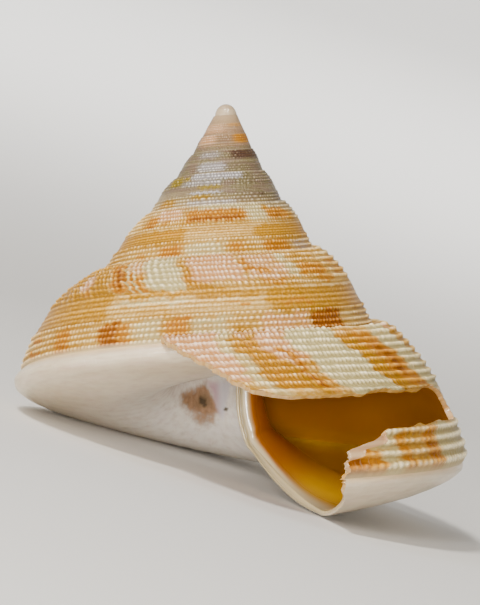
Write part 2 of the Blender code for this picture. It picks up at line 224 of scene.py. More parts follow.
# Markings by kind, as (age from, age to, s from, s to, strength), where the photo shows them. Each
# kind's rows go turn by turn from the lip to the apex. Deep ones are the dark middles of orange ones.
MARKS = {
    "orange": (
        (0.22, 0.246, 0.12, 0.5, 0.4), (0.206, 0.2145, 0.14, 0.5, 0.85), (0.197, 0.207, 0.2, 0.5, 0.45),
        (0.112, 0.15, 0.03, 0.13, 0.55), (0.101, 0.13, 0.08, 0.5, 0.85), (0.186, 0.23, 0.86, 1.02, 1.0),
        (0.161, 0.171, 0.77, 1.02, 0.7), (0.127, 0.144, 0.76, 1.02, 0.95),
        (-0.556, -0.538, 0.4, 0.49, 0.6), (-0.6125, -0.59, 0.08, 0.5, 1.0),
        (-0.6235, -0.6175, 0.22, 0.5, 0.9), (-0.6385, -0.6275, 0.26, 0.49, 0.9),
        (-0.706, -0.69, 0.26, 0.48, 0.45), (-0.783, -0.77, 0.14, 0.25, 0.95),
        (-0.803, -0.766, 0.26, 0.33, 0.9), (-0.815, -0.782, 0.4, 0.48, 0.65),
        (-0.897, -0.846, 0.22, 0.38, 0.85), (-0.905, -0.868, 0.38, 0.46, 0.7),
        (-0.955, -0.915, 0.18, 0.26, 0.6), (-0.965, -0.92, 0.29, 0.38, 0.6),
        (-0.84, -0.795, 0.63, 0.69, 0.75), (-0.767, -0.735, 0.63, 0.67, 0.6),
        (-0.5, -0.473, 0.78, 0.86, 0.7), (-0.5, -0.473, 0.91, 0.98, 0.85),
        (-0.546, -0.524, 0.77, 1.02, 0.8), (-0.627, -0.587, 0.77, 1.02, 0.75),
        (-0.693, -0.667, 0.76, 1.02, 0.85), (-1.608, -1.572, 0.18, 0.42, 0.85),
        (-1.64, -1.622, 0.3, 0.4, 0.6), (-1.792, -1.67, 0.13, 0.38, 0.95),
        (-1.912, -1.843, 0.15, 0.38, 0.95), (-1.664, -1.6, 0.51, 0.59, 0.45),
        (-1.608, -1.586, 0.84, 1.02, 0.65), (-1.674, -1.633, 0.76, 1.02, 0.85),
        (-1.778, -1.749, 0.76, 0.94, 0.75), (-1.776, -1.752, 0.95, 1.02, 0.9),
        (-1.868, -1.81, 0.76, 1.02, 0.95), (-5.0, -4.8, 0.0, 0.6, 0.85), (-5.98, -5.76, 0.0, 0.35, 0.8),
    ),
    "deep": (
        (0.2085, 0.213, 0.24, 0.48, 0.6), (0.109, 0.121, 0.18, 0.42, 0.8), (0.2, 0.23, 0.9, 1.02, 0.8),
        (0.131, 0.142, 0.82, 0.96, 0.55), (-0.609, -0.597, 0.17, 0.46, 0.8),
        (-0.89, -0.862, 0.27, 0.34, 0.45), (-0.542, -0.528, 0.88, 0.98, 0.45),
        (-0.611, -0.589, 0.79, 1.02, 0.9), (-0.688, -0.674, 0.92, 1.02, 0.45),
        (-0.878, -0.831, 0.76, 0.96, 1.0), (-1.604, -1.58, 0.31, 0.41, 0.5),
        (-1.79, -1.672, 0.27, 0.37, 0.75), (-1.885, -1.85, 0.22, 0.36, 0.55),
        (-1.672, -1.64, 0.88, 0.98, 0.4), (-1.85, -1.812, 0.84, 0.93, 0.4),
        (-4.96, -4.85, 0.05, 0.45, 0.45),
    ),
    "peach": (
        (0.254, 0.33, -0.1, 0.4, 0.85), (0.196, 0.226, -0.1, 0.28, 0.7), (0.226, 0.244, -0.1, 0.1, 0.55),
        (0.04, 0.06, -0.1, 0.08, 0.7), (-0.56, -0.537, 0.2, 0.4, 0.8), (-0.645, -0.614, 0.04, 0.28, 0.5),
        (-0.768, -0.7, 0.04, 0.42, 0.75), (-0.825, -0.77, 0.06, 0.42, 0.6),
        (-0.83, -0.77, 0.77, 1.02, 0.6), (-1.662, -1.6, 0.05, 0.32, 0.7),
        (-1.768, -1.705, 0.13, 0.22, 0.8), (-4.7, -4.54, 0.0, 0.6, 0.6), (-5.1, -4.56, 0.6, 0.78, 0.35),
        (-5.76, -5.5, 0.0, 0.9, 0.5),
    ),
    "white": (
        (0.243, 0.258, -0.1, 0.54, 0.6), (0.15, 0.197, -0.1, 0.54, 0.95),
        (0.058, 0.101, -0.1, 0.54, 0.75), (0.02, 0.06, 0.26, 0.54, 0.5), (0.171, 0.2, 0.7, 0.9, 0.65),
        (0.171, 0.188, 0.88, 1.02, 0.65), (0.04, 0.126, 0.74, 1.02, 0.75),
        (-0.6175, -0.6135, 0.06, 0.48, 0.9), (-0.6275, -0.6235, 0.06, 0.5, 0.9),
        (-0.688, -0.642, 0.03, 0.49, 0.85), (-0.845, -0.822, 0.05, 0.4, 0.6),
        (-0.69, -0.595, 0.57, 0.63, 0.55), (-0.665, -0.63, 0.77, 1.02, 0.55),
        (-0.74, -0.695, 0.77, 1.02, 0.55), (-0.96, -0.89, 0.78, 1.02, 0.3),
        (-1.778, -1.733, 0.21, 0.27, 0.9), (-1.845, -1.795, 0.02, 0.42, 0.65),
        (-1.8, -1.69, -0.05, 0.13, 0.6), (-1.745, -1.676, 0.74, 1.02, 0.6),
    ),
    "yellow": (
        (0.212, 0.248, 0.05, 0.5, 0.85), (0.197, 0.213, 0.03, 0.24, 0.45),
        (0.122, 0.152, 0.1, 0.5, 0.85), (0.036, 0.064, 0.06, 0.24, 0.6), (0.144, 0.172, 0.76, 1.02, 0.5),
        (-0.59, -0.44, 0.02, 0.76, 0.75), (-0.722, -0.689, 0.2, 0.5, 0.9),
        (-0.905, -0.85, 0.08, 0.46, 0.5), (-0.775, -0.69, 0.52, 0.6, 0.7),
        (-1.02, -0.78, 0.5, 0.76, 0.8), (-0.735, -0.6, 0.5, 0.55, 0.8), (-0.765, -0.74, 0.86, 0.97, 0.6),
        (-1.94, -1.9, 0.2, 0.45, 0.7), (-1.86, -1.835, 0.08, 0.2, 0.8),
        (-1.672, -1.44, 0.47, 0.74, 0.95), (-2.02, -1.795, 0.47, 0.74, 0.9),
        (-1.795, -1.672, 0.4, 0.62, 0.4), (-2.608, -2.545, 0.06, 0.38, 1.0),
        (-2.636, -2.615, 0.08, 0.28, 0.8), (-2.745, -2.66, 0.38, 0.56, 0.65),
        (-2.715, -2.65, 0.68, 0.82, 0.7), (-2.615, -2.545, 0.72, 0.98, 0.7),
    ),
    "brown": (
        (-0.868, -0.836, 0.82, 0.88, 0.22), (-2.885, -2.775, 0.52, 0.62, 0.35),
        (-2.883, -2.85, 0.68, 0.76, 0.6), (-4.0, -3.77, 0.02, 0.46, 0.78),
    ),
    "nacre": (
        (-1.935, -1.875, 0.78, 1.02, 0.5), (-2.815, -2.64, -0.05, 0.24, 1.0),
        (-2.75, -2.61, 0.24, 0.44, 0.6), (-2.745, -2.645, 0.6, 0.66, 0.9),
        (-2.785, -2.64, 0.84, 1.02, 0.6), (-3.76, -3.64, 0.55, 0.95, 0.7),
        (-3.74, -3.62, 0.05, 0.4, 0.5),
    ),
}
BLUR_SHARE = 0.45  # how soft a marking's ends are, as a share of its length
BLUR_TURNS = 0.006  # and at most so many turns, on the last one
BLUR_SHARE_ACROSS = 0.35  # the same for its sides
BLUR_ACROSS = 0.028
BLUR_ACROSS_MOST = 0.12

# Stretches of the coil that the photo doesn't show.
UNSEEN_TURNS = ((-0.435, 0.0), (-1.42, -1.0), (-2.48, -2.05))
UNSEEN_SPIRE = -2.5  # above it the front's spots are used again half a turn further back


def ease(x, start, end):
    """Go smoothly from 0 at start to 1 at end, which may also be the lower one."""
    share = np.clip((x - start) / (end - start), 0.0, 1.0)
    return share * share * (3.0 - 2.0 * share)


def bell(x, middle, width):
    """A rounded peak of 1 at the middle that fades over the width."""
    return np.exp(-((x - middle) / width) ** 2)


def along(knots, x):
    """Read a list of (x, y) knots."""
    return np.interp(x, [k[0] for k in knots], [k[1] for k in knots])


def softened(knots, width, x):
    """Read a list of knots with its corners rounded over a width."""
    return sum(along(knots, x + width * k) for k in SMOOTH_STEPS) / len(SMOOTH_STEPS)


def waves(x, parts):
    """Sum of sine waves, each given as (height, waves per unit, phase)."""
    return sum(a * np.sin(CIRCLE * (f * x + p)) for a, f, p in parts)


def grid(columns, rows):
    """Every column's value with every row's, as two flat arrays."""
    return [values.ravel() for values in np.meshgrid(columns, rows, indexing="ij")]


def seam(t):
    grown = t + 2.0
    quick = np.maximum(grown, 0.0) ** 2
    radius = (TIP_RADIUS + SEAM_RADIUS * np.exp(RADIUS_RATE * grown + RADIUS_QUICKEN * quick)
              + SPIRE_FULL * (1.0 - ease(t, *SPIRE_FULL_TURNS))
              + STEP_OUT * bell(t, 0.0, STEP_TURNS) - DRAW_IN * bell(t, 1.0, DRAW_IN_TURNS))
    depth = SEAM_DEPTH * np.exp(DEPTH_RATE * grown + DEPTH_QUICKEN * quick)
    return radius, depth


def size_at(t):
    """How large the whorl is at t, as a share of the last one."""
    return seam(t + 1.0)[0] / seam(1.0)[0]


def flank(t, s):
    r0, d0 = seam(t)
    r1, d1 = seam(t + 1.0)
    rise = np.interp(t, FLANK_TURNS, FLANK_RISE)
    fall = np.interp(t, FLANK_TURNS, FLANK_FALL)
    crest = rise / (rise + fall)
    share = np.clip(s, 0.0, 1.0)
    swell = share ** rise * (1.0 - share) ** fall / (crest ** rise * (1.0 - crest) ** fall)
    swell *= np.interp(t, FLANK_TURNS, FLANK_SWELL)
    return (r0 + (r1 - r0) * share + (d1 - d0) * swell,
            d0 + (d1 - d0) * share - (r1 - r0) * swell)


def base_keys(t):
    radius, depth = seam(t + 1.0)
    change = ease(t, *BASE_CHANGE)
    early, late = np.array(BASE_EARLY), np.array(BASE_AT_LIP)
    keys = early[:, :, None] * (1.0 - change) + late[:, :, None] * change
    return keys[:, 0] * radius, depth + keys[:, 1] * radius


def through(keys, share):
    """A smooth curve through the key points, read at a share of its way."""
    count = len(keys)
    place_on = np.clip(share, 0.0, 1.0) * (count - 1)
    first = np.minimum(place_on.astype(int), count - 2)
    f = place_on - first
    column = np.arange(len(f))
    a, b = keys[np.maximum(first - 1, 0), column], keys[first, column]
    c, d = keys[first + 1, column], keys[np.minimum(first + 2, count - 1), column]
    return b + 0.5 * f * (c - a + f * (2 * a - 5 * b + 4 * c - d + f * (3 * (b - c) + d - a)))


def section(t, s):
    """Radius and depth of the smooth outer face."""
    radius, depth = flank(t, s)
    radii, depths = base_keys(t)
    base_r, base_d = through(radii, s - 1.0), through(depths, s - 1.0)
    upper_radii, upper_depths = base_keys(t - 1.0)
    up = np.clip(s - 2.0, 0.0, 1.0)
    dr, dd = upper_radii[-1] - radii[-1], upper_depths[-1] - depths[-1]
    bow = 4.0 * WALL_HOLLOW * np.hypot(dr, dd) * up * (1.0 - up)
    wall_r, wall_d = radii[-1] + dr * up - bow, depths[-1] + dd * up
    radius = np.where(s > 2.0, wall_r, np.where(s > 1.0, base_r, radius))
    depth = np.where(s > 2.0, wall_d, np.where(s > 1.0, base_d, depth))
    return radius, depth


def place(t, s):
    """The point of the smooth outer face at (t, s)."""
    radius, depth = section(t, s)
    angle = -CIRCLE * t
    return np.stack([radius * np.cos(angle), radius * np.sin(angle), -depth], axis=-1)


def unit(v):
    return v / np.maximum(np.linalg.norm(v, axis=-1, keepdims=True), 1e-12)


def outward(t, s, wide=0.0):
    """The outer face's unit normal, eased over a width of s where the face has a corner."""
    run = place(t + SLOPE_STEP, s) - place(t - SLOPE_STEP, s)
    reach = SLOPE_STEP + wide * ease(s, 1.6, 1.85) * ease(s, 2.5, 2.15)
    across = place(t, np.minimum(s + reach, 3.0)) - place(t, np.maximum(s - reach, 0.0))
    return unit(np.cross(run, across))


def forward(t, s):
    """The direction in which the shell grows at (t, s)."""
    return unit(place(t + SLOPE_STEP, s) - place(t - SLOPE_STEP, s))


def lip_reach(s, layer):
    """How far the inner or the outer layer of the wall reaches at s, with its small nicks."""
    reach = softened(LIP, 0.012, s)
    reach += ease(s, 0.02, 0.1) * ease(s, 1.2, 1.0) * waves(s, LIP_NICKS)
    if layer == "outer":
        reach -= softened(CHIP, 0.006, s)
    return reach


def behind_lip(t, s):
    """How many millimetres a place on the outer layer lies behind the lip."""
    return (lip_reach(s, "outer") - t) * CIRCLE * section(t, s)[0]


def slant(t, s, layer):
    """How far the growth lines lean back at column t, so that the last column is the lip."""
    lean = (LIP_TURN - lip_reach(s, layer)) * ease(t, SLANT_START, LIP_TURN)
    rim = ease(t, SLANT_START - 1.0, LIP_TURN - 1.0) * ease(t, -0.3, LIP_TURN - 1.0)
    near_rim = ease(s, 1.55, 1.85) * ease(s, 2.6, 2.0)
    return lean + (LIP_TURN - LIP[-1][1]) * rim * near_rim


def warped(t, s, layer):
    """Move grid places so that its lines follow the lip's and the slit's ragged edges."""
    t_at = t - slant(t, s, layer)
    near = ease(t_at, SLIT_END_TURN - 0.045, SLIT_END_TURN - 0.015)
    nick = waves(t_at, SLIT_NICKS)
    upper = softened(UPPER_EDGE, 0.0015, t_at) - SLIT_UPPER + nick
    lower = softened(LOWER_EDGE, 0.0015, t_at) - SLIT_LOWER + nick
    s_at = s + near * upper * bell(s, SLIT_UPPER, 0.035)
    s_at += near * lower * bell(s, SLIT_LOWER, 0.035)
    corner = 0.016 * bell(s, SLIT_UPPER, 0.03) + 0.007 * bell(s, SLIT_LOWER, 0.03)
    t_at += corner * bell(t, SLIT_END_TURN, 0.022)
    return t_at, s_at


def age(t, s):
    """Growth lines are lines of equal age. They lean back on the flank above the slit."""
    lean = np.interp(t, LEAN_TURNS, LEAN)
    share = np.clip(s / SLIT_UPPER, 0.0, 1.0)
    return t + lean * share ** 1.4


def hump(phase, sharp):
    """A row of rounded ridges, one for each whole phase, highest at its half."""
    return (0.5 - 0.5 * np.cos(CIRCLE * phase)) ** sharp


def counted(grown, rates):
    """How many beads have grown up to an age, when their number a turn changes."""
    ages = np.linspace(RATE_TURNS[0], RATE_TURNS[-1], 901)
    total = np.cumsum(np.interp(ages, RATE_TURNS, rates)) * (ages[1] - ages[0])
    return np.interp(grown, ages, total)


OWN = np.random.RandomState(7).rand(97, 89)  # a number for each bead, by column and row


def bead_row(count, sharp, row):
    """A row of beads, each with a height of its own."""
    column = np.floor(count) + 3000.0
    own = OWN[column.astype(int) % OWN.shape[0], row.astype(int) % OWN.shape[1]]
    return hump(count, sharp) * (0.45 + 0.55 * own)


def beads(t, s, row_phase, is_low):
    """Beads lie where growth lines cross a cord. Each has its own size, and few stand quite in line."""
    grown = age(t, s)
    crest = np.floor(row_phase - 0.5)
    change = ease(row_phase - 0.5 - crest, 0.35, 0.65)
    apart = (1.0 - change) * np.sin(2.3 * crest) + change * np.sin(2.3 * (crest + 1.0))
    stray = waves(grown, BEAD_STRAY)
    stray += 0.26 * apart * np.interp(t, IN_LINE_TURNS, IN_LINE)
    fine = counted(grown, FINE_BEADS) + stray
    coarse = np.where(is_low, counted(grown, LOW_BEADS), counted(grown, COARSE_BEADS)) + stray
    rows = np.interp(t, RATE_TURNS, COARSE_ROWS)
    is_fine = np.where(is_low, 0.0, ease(row_phase, rows - 0.15, rows + 0.15))
    row = np.floor(row_phase) + 40.0
    fine_bead = bead_row(fine, 0.9, row)
    coarse_bead = bead_row(coarse, 1.0, row)
    return coarse_bead + (fine_bead - coarse_bead) * is_fine


def relief(t, s):
    """Height of the flank's sculpture over the smooth flank, and how far a place is on a bead."""
    upper = np.interp(t, BAND_TURNS, BAND_UPPER)
    lower = np.interp(t, BAND_TURNS, BAND_LOWER)
    is_low = s > 0.5 * (upper + lower)
    uneven = 0.9 + waves(age(t, s), CORD_UNEVEN)
    row_phase = s / upper * np.interp(t, RAMP_CORD_TURNS, RAMP_CORDS)
    low_phase = (s - lower) / (1.0 - lower) * np.interp(t, LOW_CORD_TURNS, LOW_CORDS) + 0.1
    thread_phase = (s - upper) / (lower - upper) * BAND_THREADS
    bead = beads(t, s, np.where(is_low, low_phase + 20.0, row_phase), is_low)

    ramp = hump(row_phase, 1.3) * ease(s, upper, upper - 0.025)
    low = hump(low_phase, 1.3) * ease(s, lower, lower + 0.02) * ease(s, 1.0, 0.992)
    cord = np.maximum(ramp, low)
    in_band = ease(s, upper - 0.01, upper + 0.01) * ease(s, lower + 0.01, lower - 0.01)
    each_thread = 0.55 + 0.45 * np.sin(2.1 * np.floor(thread_phase) + 0.8) ** 2
    thread = hump(thread_phase, 0.9) * each_thread * in_band
    ribbed = RIB_RISE * (1.0 - np.interp(t, IN_LINE_TURNS, IN_LINE)) * ease(s, 0.48, 0.4)

    strong = np.interp(t, STRONG_TURNS, STRONG_BEADS)
    low_cord = np.interp(t, LOW_TURNS, LOW_CORD_RISE)
    low_bead = np.interp(t, LOW_TURNS, LOW_BEAD_RISE)
    height = ramp * (CORD_RISE + BEAD_RISE * bead * strong) * uneven
    height += low * (low_cord + low_bead * bead) * uneven
    height += thread * (THREAD_RISE + THREAD_BEAD_RISE * bead)
    joined = 0.06 + 0.08 * ease(row_phase, 3.0, 1.0) + ribbed
    height += joined * bead * (1.0 - cord) * (1.0 - 0.75 * in_band)
    ends = ease(s, 0.0, 0.02) * ease(s, 1.0, 0.985)
    broad = MAIN_RIDGES * softened(RIDGES, 0.03, s)
    total = broad * ease(t, *RIDGE_TURNS) + height * ends * ease(t, *CORD_TURNS)

    # The lift also picks the flank's colour. Where it is low the flank gets the darker colour between
    # the beads, which is partly painted shade.
    between = np.where(is_low, 0.12, 0.32 + 1.2 * ribbed)
    even = np.where(is_low, np.interp(t, LOW_TURNS, LOW_EVEN), RAMP_EVEN)
    lift = np.maximum(cord * (even + (1.0 - even) * bead), between * bead)
    lift = np.maximum(lift * (1.0 - in_band), in_band * (0.12 + thread * (0.36 + 0.32 * bead)))
    return size_at(t) * total, lift


def base_relief(t, s):
    """Faint spiral threads and growth folds of the base and the umbilical wall."""
    folds = waves(t + 0.02 * np.sin(3.0 * s), BASE_FOLDS)
    threads = 0.015 * hump(s * 16.0, 1.0) * ease(s, 1.0, 1.05) * ease(s, 1.6, 1.3)
    return size_at(t) * ease(s, 1.0, 1.06) * (folds + threads) * ease(s, 3.0, 2.6)


def pillar_round(t, s):
    """How much thinner the pillar's wall gets close to the lip, where its inner corner is rounded."""
    behind = (along(LIP, s) - t) * CIRCLE * section(t, s)[0]
    way = np.clip(1.0 - behind / PILLAR_CORNER, 0.0, 1.0)
    corner = PILLAR_CORNER * (1.0 - np.sqrt(1.0 - way * way))
    return corner * ease(s, 1.8, 2.05) * ease(s, 3.0, 2.85)


def wall_thickness(t, s):
    reach = along(LIP, s)
    full = WALL + (COLUMELLA_WALL - WALL) * ease(s, 1.7, 2.0)
    thin = LIP_WALL + (COLUMELLA_WALL - LIP_WALL) * ease(s, 1.6, 2.0)
    by_slit = ease(t, -0.02, 0.04) * ease(s, 0.42, SLIT_UPPER) * ease(s, 0.82, SLIT_LOWER)
    thickness = thin + (full - thin) * ease(reach - t, 0.0, WALL_TAPER_TURNS)
    return size_at(t) * (thickness + (SLIT_WALL - thickness) * by_slit) - pillar_round(t, s)


def outer_points(t, s):
    """The outer face with its sculpture, rounded where the base turns into the umbilicus."""
    height = np.where(s <= 1.0, relief(t, s)[0], base_relief(t, s))
    on_pillar = ease(s, 1.9, 2.15) * ease(s, 3.0, 2.7)
    height = height + PILLAR_FOLD * bell(behind_lip(t, s), *PILLAR_FOLD_AT) * on_pillar
    spread = RIM_ROUND * bell(s, 2.0, 0.09)
    smooth = sum(place(t, np.clip(s + spread * k, 0.0, 3.0)) for k in SMOOTH_STEPS)
    smooth = np.where((s > 1.6)[:, None], smooth / len(SMOOTH_STEPS), place(t, s))
    return smooth + outward(t, s) * height[:, None]


def inner_points(t, s):
    """The inner face. Its two ends run into the base of the turn above."""
    inner = place(t, s) - outward(t, s, wide=0.16) * wall_thickness(t, s)[:, None]
    deep = ease(along(LIP, s) - t, 0.0, WALL_TAPER_TURNS)
    ledge = outer_points(t - 1.0, LEDGE_AT_LIP + (LEDGE - LEDGE_AT_LIP) * deep)
    hollow = outer_points(t - 1.0, np.full_like(s, HOLLOW))
    high = ease(s, 0.075, 0.0)[:, None]
    low = ease(s, 2.7, 3.0)[:, None]
    return inner * (1.0 - high - low) + ledge * high + hollow * low


FRONT = np.array([0.0, -math.cos(VIEW_DIP), -math.sin(VIEW_DIP)])


def rest_matrix():
    """Turn the shell's own axes so that it stands on its base with the aperture in front."""
    down = unit(np.array(REST_DOWN))
    up = -down
    front = unit(FRONT - up * FRONT.dot(up))
    return np.array([np.cross(up, front), -front, up])


REST = rest_matrix()


def to_frame(points):
    """Shell millimetres to the frame's metres, with the worn flats at the floor."""
    placed = points @ REST.T + np.array(APEX_PLACE)
    placed[:, 2] = np.maximum(placed[:, 2], 0.0)
    return placed * MM


def new_object(name, data):
    """An object in the scene."""
    made = bpy.data.objects.new(name, data)
    bpy.context.scene.collection.objects.link(made)
    return made


def grid_faces(columns, rows, gap, flip):
    """Quads of a grid, in an order that faces out of the shell, with the slit left open."""
    i, j = grid(np.arange(columns - 1), np.arange(rows - 1))
    if gap:
        column, upper, lower = gap
        kept = ~((i >= column) & (j >= upper) & (j < lower))
        i, j = i[kept], j[kept]
    a = i * rows + j
    quads = np.stack([a, a + rows, a + rows + 1, a + 1], axis=1)
    return quads[:, ::-1] if flip else quads


def make_piece(name, points, shape, layers, material, gap=None, flip=False):
    """A mesh object from a grid of points, with its bake map and its point attributes."""
    faces = grid_faces(*shape, gap, flip)
    uv = np.stack(grid(*(np.linspace(0.01, 0.99, count) for count in shape)), axis=1)
    mesh = bpy.data.meshes.new(name)
    mesh.vertices.add(len(points))
    mesh.vertices.foreach_set("co", to_frame(points).astype(np.float32).ravel())
    mesh.loops.add(faces.size)
    mesh.loops.foreach_set("vertex_index", faces.astype(np.int32).ravel())
    mesh.polygons.add(len(faces))
    mesh.polygons.foreach_set("loop_start", np.arange(0, faces.size, 4, dtype=np.int32))
    mesh.polygons.foreach_set("loop_total", np.full(len(faces), 4, dtype=np.int32))
    bake_map = mesh.uv_layers.new(name="OFBake")
    bake_map.data.foreach_set("uv", uv[faces.ravel()].astype(np.float32).ravel())
    for key, values in layers.items():
        layer = mesh.attributes.new(key, "FLOAT", "POINT")
        layer.data.foreach_set("value", np.asarray(values, dtype=np.float32))
    mesh.update(calc_edges=True)
    mesh.validate()
    mesh.shade_smooth()
    mesh.materials.append(material)
    piece = new_object(name, mesh)
    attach(piece, "root")
    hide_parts("shell")


def flank_rows(count):
    """Rows across the flank, with the slit's two edges among them."""
    upper = round(count * SLIT_UPPER)
    lower = round(count * SLIT_LOWER)
    rows = np.concatenate([np.linspace(0.0, SLIT_UPPER, upper + 1),
                           np.linspace(SLIT_UPPER, SLIT_LOWER, lower - upper + 1)[1:],
                           np.linspace(SLIT_LOWER, 1.0, count - lower + 1)[1:]])
    return rows, upper, lower


def all_marks():
    """The photo's markings, and some of the same kind where the photo doesn't show the coil."""
    marks = {kind: [*rows, *((first - 0.5, last - 0.5, *rest) for first, last, *rest in rows
                             if last < UNSEEN_SPIRE)] for kind, rows in MARKS.items()}
    rng = np.random.RandomState(11)

    def add(kind, first, last, low, high, weakest, strongest):
        marks[kind].append((first, last, low, high, rng.uniform(weakest, strongest)))

    for first, last in UNSEEN_TURNS:
        at = first
        while at < last:
            wide = rng.uniform(0.022, 0.045)
            end = at + wide
            add("yellow", at - 0.01, end, 0.04, 0.5, 0.6, 0.9)
            add("orange", at, end, 0.04, rng.uniform(0.35, 0.5), 0.6, 0.9)
            if rng.rand() < 0.6:
                add("deep", at + 0.3 * wide, at + 0.6 * wide, 0.1, 0.42, 0.5, 0.8)
            add("white", end, end + 0.02, 0.02, 0.5, 0.5, 0.9)
            low = at + rng.uniform(-0.01, 0.02)
            add("orange", low, low + 0.7 * wide, 0.75, 1.02, 0.7, 1.0)
            add("yellow", at, at + 0.05, 0.47, 0.74, 0.4, 0.8)
            at = end + rng.uniform(0.022, 0.04)
    return marks


ALL_MARKS = all_marks()


def mark_layers(t, s):
    """How strongly each kind of marking shows at each place."""
    grown = age(t, s)
    small = np.clip(size_at(grown), 0.1, 1.0)
    grown_at = grown + waves(s, MARK_WANDER) + 0.0012 * np.sin(90.0 * grown)
    sway = waves(grown / small ** 0.5, MARK_SWAY)
    s_at = s + sway * ease(s, 0.0, 0.08) * ease(s, 1.0, 0.92)
    layers = {kind: np.zeros_like(t) for kind in ALL_MARKS}
    for kind, rows in ALL_MARKS.items():
        for age_from, age_to, s_from, s_to, strength in rows:
            size = float(size_at(0.5 * (age_from + age_to)))
            soft = min(BLUR_SHARE * (age_to - age_from), BLUR_TURNS / size)
            across = min(BLUR_SHARE_ACROSS * (s_to - s_from), BLUR_ACROSS / size, BLUR_ACROSS_MOST)
            shows = strength * ease(grown_at, age_from - soft, age_from + soft)
            shows *= ease(grown_at, age_to + soft, age_to - soft)
            shows *= ease(s_at, s_from - across, s_from + across)
            shows *= ease(s_at, s_to + across, s_to - across)
            layers[kind] = np.maximum(layers[kind], shows)
    return layers


def linear(code):
    """A colour in linear light from its usual six digits."""
    parts = [int(code[k:k + 2], 16) / 255.0 for k in (0, 2, 4)]
    light = [p / 12.92 if p <= 0.04045 else ((p + 0.055) / 1.055) ** 2.4 for p in parts]
    return (*light, 1.0)


class Nodes:
    """Short calls for the nodes that the shell's materials are made of."""

    def __init__(self, name):
        self.material = bpy.data.materials.new(name)
        self.material.use_nodes = True
        self.tree = self.material.node_tree
        self.shader = self.tree.nodes["Principled BSDF"]

    def feed(self, node, inputs):
        """Give inputs, by name or number, another node's output, a colour's six digits or a value."""
        for key, value in inputs.items():
            if isinstance(value, bpy.types.NodeSocket):
                self.tree.links.new(value, node.inputs[key])
            else:
                node.inputs[key].default_value = linear(value) if isinstance(value, str) else value

    def add(self, kind, inputs, **settings):
        node = self.tree.nodes.new(kind)
        for key, value in settings.items():
            setattr(node, key, value)
        self.feed(node, inputs)
        return node.outputs

    def layer(self, name):
        return self.add("ShaderNodeAttribute", {}, attribute_name=name)["Fac"]

    def math(self, operation, a, b, clamp=False):
        return self.add("ShaderNodeMath", {0: a, 1: b}, operation=operation, use_clamp=clamp)[0]

    def times(self, a, b):
        return self.math("MULTIPLY", a, b)

    def plus(self, a, b):
        return self.math("ADD", a, b)

    def minus(self, a, b):
        return self.math("SUBTRACT", a, b)

    def centred(self, noise, height):
        """Noise about nothing, where it was about a half."""
        return self.times(self.minus(noise, 0.5), height)

    def mix(self, share, a, b):
        return self.add("ShaderNodeMix", {0: share, 6: a, 7: b}, data_type="RGBA")[2]

    def tint(self, colour, share, strength, other):
        """Lay another colour over one, at most at a strength."""
        return self.mix(self.times(share, strength), colour, other)

    def noise(self, along_t, along_s, detail=3.0, rough=0.55):
        """Noise that follows the growth lines, with so many grains a turn and across the whorl."""
        where = self.add("ShaderNodeCombineXYZ", {0: self.times(self.layer("age"), along_t),
                                                  1: self.times(self.layer("across"), along_s)})
        grain = {"Vector": where[0], "Scale": 1.0, "Detail": detail, "Roughness": rough}
        return self.add("ShaderNodeTexNoise", grain)["Fac"]

    def span(self, value, low, high):
        """Stretch low to high over 0 to 1."""
        ends = {"Value": value, "From Min": low, "From Max": high}
        return self.add("ShaderNodeMapRange", ends, interpolation_type="SMOOTHSTEP")["Result"]

    def bump(self, height, strength, distance):
        size = {"Strength": strength, "Distance": distance, "Height": height}
        self.feed(self.shader, {"Normal": self.add("ShaderNodeBump", size)["Normal"]})

    def finish(self, colour, roughness, coat=0.0, subsurface=0.0, gloss=0.5):
        self.feed(self.shader, {
            "Base Color": colour, "Roughness": roughness, "Specular IOR Level": gloss,
            "Coat Weight": coat, "Coat Roughness": 0.12, "Subsurface Weight": subsurface,
            "Subsurface Radius": (1.0, 0.6, 0.35), "Subsurface Scale": 0.5 * MM})
        return self.material


